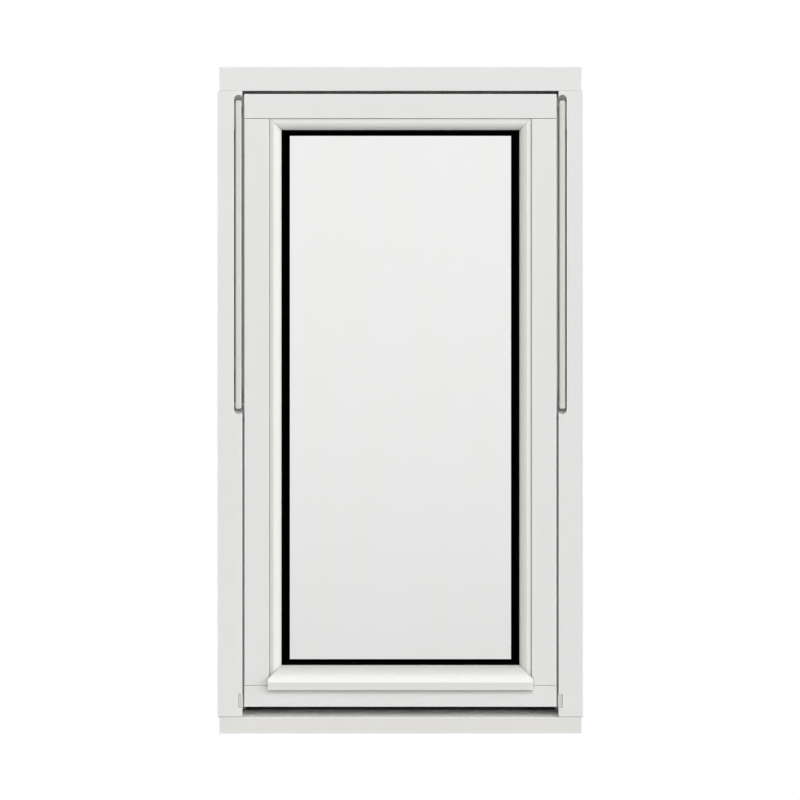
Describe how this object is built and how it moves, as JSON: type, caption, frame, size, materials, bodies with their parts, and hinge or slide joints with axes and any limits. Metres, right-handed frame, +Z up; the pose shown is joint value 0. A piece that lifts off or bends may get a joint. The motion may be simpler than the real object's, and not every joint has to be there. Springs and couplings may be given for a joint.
{
  "type": "reversible top-swing timber window",
  "caption": "Closed top-swing timber window with a painted frame and sash, side swing arms, moulded glazing beads, a drip nose and a sealed double glass unit.",
  "frame": {"origin": "on the underside of the sill, in the middle of the frame's width and depth", "axes": "+X right seen from outside, +Y into the room, +Z up"},
  "size_m": [0.596, 0.124, 1.087],
  "materials": {
    "frame_paint": "satin factory paint on planed softwood",
    "sash_paint": "satin factory paint on planed softwood",
    "bead_paint": "satin factory paint on moulded hardwood",
    "clear_glass": "polished float glass",
    "edge_black": "matt black spacer and sealant",
    "black_rubber": "matt black rubber",
    "grey_strip": "matt pale rubber",
    "block_plastic": "plain moulded plastic",
    "arm_aluminium": "light grey powder coat on aluminium",
    "track_aluminium": "mill-finish extrusion",
    "zinc_steel": "zinc-plated steel",
    "shoe_plastic": "black nylon",
    "keeper_plastic": "grey-white moulded plastic",
    "handle_aluminium": "white powder coat on cast aluminium"
  },
  "bodies": {
    "root": {"head": "frame_paint", "sill": "frame_paint", "left_jamb": "frame_paint", "right_jamb": "frame_paint", "sash_top_rail": "sash_paint", "sash_bottom_rail": "sash_paint", "left_stile": "sash_paint", "right_stile": "sash_paint", "glazing_bead_top": "bead_paint", "glazing_bead_left": "bead_paint", "glazing_bead_right": "bead_paint", "glazing_bead_bottom": "bead_paint", "outer_pane": "clear_glass", "inner_pane": "clear_glass", "spacer_bar": "edge_black", "edge_sealant": "edge_black", "glazing_gasket": "black_rubber", "glazing_tape": "black_rubber", "frame_seal": "black_rubber", "left_stile_strip": "grey_strip", "right_stile_strip": "grey_strip", "left_setting_block": "block_plastic", "right_setting_block": "block_plastic", "left_swing_arm": "arm_aluminium", "right_swing_arm": "arm_aluminium", "left_guide_track": "track_aluminium", "right_guide_track": "track_aluminium", "left_arm_bracket": "zinc_steel", "right_arm_bracket": "zinc_steel", "left_sash_pivot": "zinc_steel", "right_sash_pivot": "zinc_steel", "left_guide_shoe": "shoe_plastic", "right_guide_shoe": "shoe_plastic", "left_keeper": "keeper_plastic", "right_keeper": "keeper_plastic", "handle_base": "handle_aluminium", "handle_lever": "handle_aluminium"}
  },
  "joints": []
}
